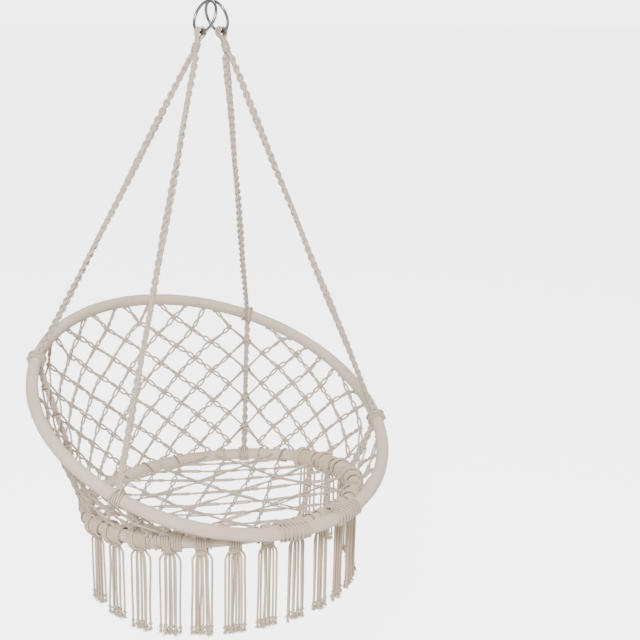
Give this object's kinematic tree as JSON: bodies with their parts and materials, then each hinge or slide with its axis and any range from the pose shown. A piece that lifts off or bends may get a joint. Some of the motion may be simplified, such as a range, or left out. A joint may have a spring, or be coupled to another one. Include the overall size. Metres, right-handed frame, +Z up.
{
  "type": "hanging hammock chair",
  "caption": "Macrame hammock chair with two fabric-covered hoops, a knotted cord net, a tasselled front and four ropes on steel hanging rings.",
  "frame": {"origin": "the point on the inside of the two rings where a hook bears", "axes": "+Z up, -Y the open front of the seat, +X the sitter's left"},
  "size_m": [0.8098, 0.7501, 1.227],
  "materials": {
    "ring_steel": "smooth bare steel",
    "hoop_steel": "satin coated steel",
    "sleeve_fabric": "matte cotton sleeve",
    "cotton_cord": "matte twisted cotton cord",
    "tassel_cord": "matte cotton fringe"
  },
  "bodies": {
    "rings": {"left_ring": "ring_steel", "right_ring": "ring_steel"},
    "chair": {"left_rope_eye": "cotton_cord", "right_rope_eye": "cotton_cord", "left_neck_wrap": "cotton_cord", "right_neck_wrap": "cotton_cord", "front_left_rope": "cotton_cord", "front_left_stay": "cotton_cord", "front_right_rope": "cotton_cord", "front_right_stay": "cotton_cord", "rear_left_rope": "cotton_cord", "rear_left_stay": "cotton_cord", "rear_right_rope": "cotton_cord", "rear_right_stay": "cotton_cord", "front_left_rim_tie": "cotton_cord", "front_left_seat_tie": "cotton_cord", "front_right_rim_tie": "cotton_cord", "front_right_seat_tie": "cotton_cord", "rear_left_rim_tie": "cotton_cord", "rear_left_seat_tie": "cotton_cord", "rear_right_rim_tie": "cotton_cord", "rear_right_seat_tie": "cotton_cord", "rim_hoop_sleeve": "sleeve_fabric", "seat_hoop_sleeve": "sleeve_fabric", "rim_hoop_bar": "hoop_steel", "seat_hoop_bar": "hoop_steel", "back_net": "cotton_cord", "left_net": "cotton_cord", "right_net": "cotton_cord", "front_left_net": "cotton_cord", "front_right_net": "cotton_cord", "seat_net": "cotton_cord", "left_lashing": "cotton_cord", "right_lashing": "cotton_cord"},
    "left_tassel_1": {"left_tassel_1": "tassel_cord"},
    "left_tassel_2": {"left_tassel_2": "tassel_cord"},
    "left_tassel_3": {"left_tassel_3": "tassel_cord"},
    "left_tassel_4": {"left_tassel_4": "tassel_cord"},
    "left_tassel_5": {"left_tassel_5": "tassel_cord"},
    "left_tassel_6": {"left_tassel_6": "tassel_cord"},
    "left_tassel_7": {"left_tassel_7": "tassel_cord"},
    "left_tassel_8": {"left_tassel_8": "tassel_cord"},
    "right_tassel_1": {"right_tassel_1": "tassel_cord"},
    "right_tassel_2": {"right_tassel_2": "tassel_cord"},
    "right_tassel_3": {"right_tassel_3": "tassel_cord"},
    "right_tassel_4": {"right_tassel_4": "tassel_cord"},
    "right_tassel_5": {"right_tassel_5": "tassel_cord"},
    "right_tassel_6": {"right_tassel_6": "tassel_cord"},
    "right_tassel_7": {"right_tassel_7": "tassel_cord"},
    "right_tassel_8": {"right_tassel_8": "tassel_cord"}
  },
  "joints": [
    {"name": "swing", "type": "hinge", "parent": "rings", "child": "chair", "pos_m": [0, 0, -0.05675], "axis": [1, 0, 0], "range_deg": [-20, 20]},
    {"name": "left_tassel_1_swing", "type": "hinge", "parent": "chair", "child": "left_tassel_1", "pos_m": [-0.03245, -0.32125, -0.99192], "axis": [0.9939, -0.1094, 0.0163], "range_deg": [-40, 22]},
    {"name": "left_tassel_2_swing", "type": "hinge", "parent": "chair", "child": "left_tassel_2", "pos_m": [-0.09582, -0.3075, -0.99398], "axis": [0.9452, -0.3228, 0.0482], "range_deg": [-40, 22]},
    {"name": "left_tassel_3_swing", "type": "hinge", "parent": "chair", "child": "left_tassel_3", "pos_m": [-0.15423, -0.2795, -0.99816], "axis": [0.8504, -0.5204, 0.0778], "range_deg": [-40, 22]},
    {"name": "left_tassel_4_swing", "type": "hinge", "parent": "chair", "child": "left_tassel_4", "pos_m": [-0.20575, -0.24042, -1.004], "axis": [0.7139, -0.6926, 0.1035], "range_deg": [-40, 22]},
    {"name": "left_tassel_5_swing", "type": "hinge", "parent": "chair", "child": "left_tassel_5", "pos_m": [-0.24629, -0.19029, -1.01149], "axis": [0.5424, -0.8309, 0.1242], "range_deg": [-40, 22]},
    {"name": "left_tassel_6_swing", "type": "hinge", "parent": "chair", "child": "left_tassel_6", "pos_m": [-0.27618, -0.13105, -1.02035], "axis": [0.3379, -0.9308, 0.1391], "range_deg": [-40, 22]},
    {"name": "left_tassel_7_swing", "type": "hinge", "parent": "chair", "child": "left_tassel_7", "pos_m": [-0.29149, -0.06459, -1.03028], "axis": [0.1089, -0.9831, 0.1469], "range_deg": [-40, 22]},
    {"name": "left_tassel_8_swing", "type": "hinge", "parent": "chair", "child": "left_tassel_8", "pos_m": [-0.29108, 0.00364, -1.04048], "axis": [-0.1262, -0.9811, 0.1466], "range_deg": [-40, 22]},
    {"name": "right_tassel_1_swing", "type": "hinge", "parent": "chair", "child": "right_tassel_1", "pos_m": [0.03245, -0.32125, -0.99192], "axis": [0.9939, 0.1094, -0.0163], "range_deg": [-40, 22]},
    {"name": "right_tassel_2_swing", "type": "hinge", "parent": "chair", "child": "right_tassel_2", "pos_m": [0.09582, -0.3075, -0.99398], "axis": [0.9452, 0.3228, -0.0482], "range_deg": [-40, 22]},
    {"name": "right_tassel_3_swing", "type": "hinge", "parent": "chair", "child": "right_tassel_3", "pos_m": [0.15423, -0.2795, -0.99816], "axis": [0.8504, 0.5204, -0.0778], "range_deg": [-40, 22]},
    {"name": "right_tassel_4_swing", "type": "hinge", "parent": "chair", "child": "right_tassel_4", "pos_m": [0.20575, -0.24042, -1.004], "axis": [0.7139, 0.6926, -0.1035], "range_deg": [-40, 22]},
    {"name": "right_tassel_5_swing", "type": "hinge", "parent": "chair", "child": "right_tassel_5", "pos_m": [0.24629, -0.19029, -1.01149], "axis": [0.5424, 0.8309, -0.1242], "range_deg": [-40, 22]},
    {"name": "right_tassel_6_swing", "type": "hinge", "parent": "chair", "child": "right_tassel_6", "pos_m": [0.27618, -0.13105, -1.02035], "axis": [0.3379, 0.9308, -0.1391], "range_deg": [-40, 22]},
    {"name": "right_tassel_7_swing", "type": "hinge", "parent": "chair", "child": "right_tassel_7", "pos_m": [0.29149, -0.06459, -1.03028], "axis": [0.1089, 0.9831, -0.1469], "range_deg": [-40, 22]},
    {"name": "right_tassel_8_swing", "type": "hinge", "parent": "chair", "child": "right_tassel_8", "pos_m": [0.29108, 0.00364, -1.04048], "axis": [-0.1262, 0.9811, -0.1466], "range_deg": [-40, 22]}
  ]
}
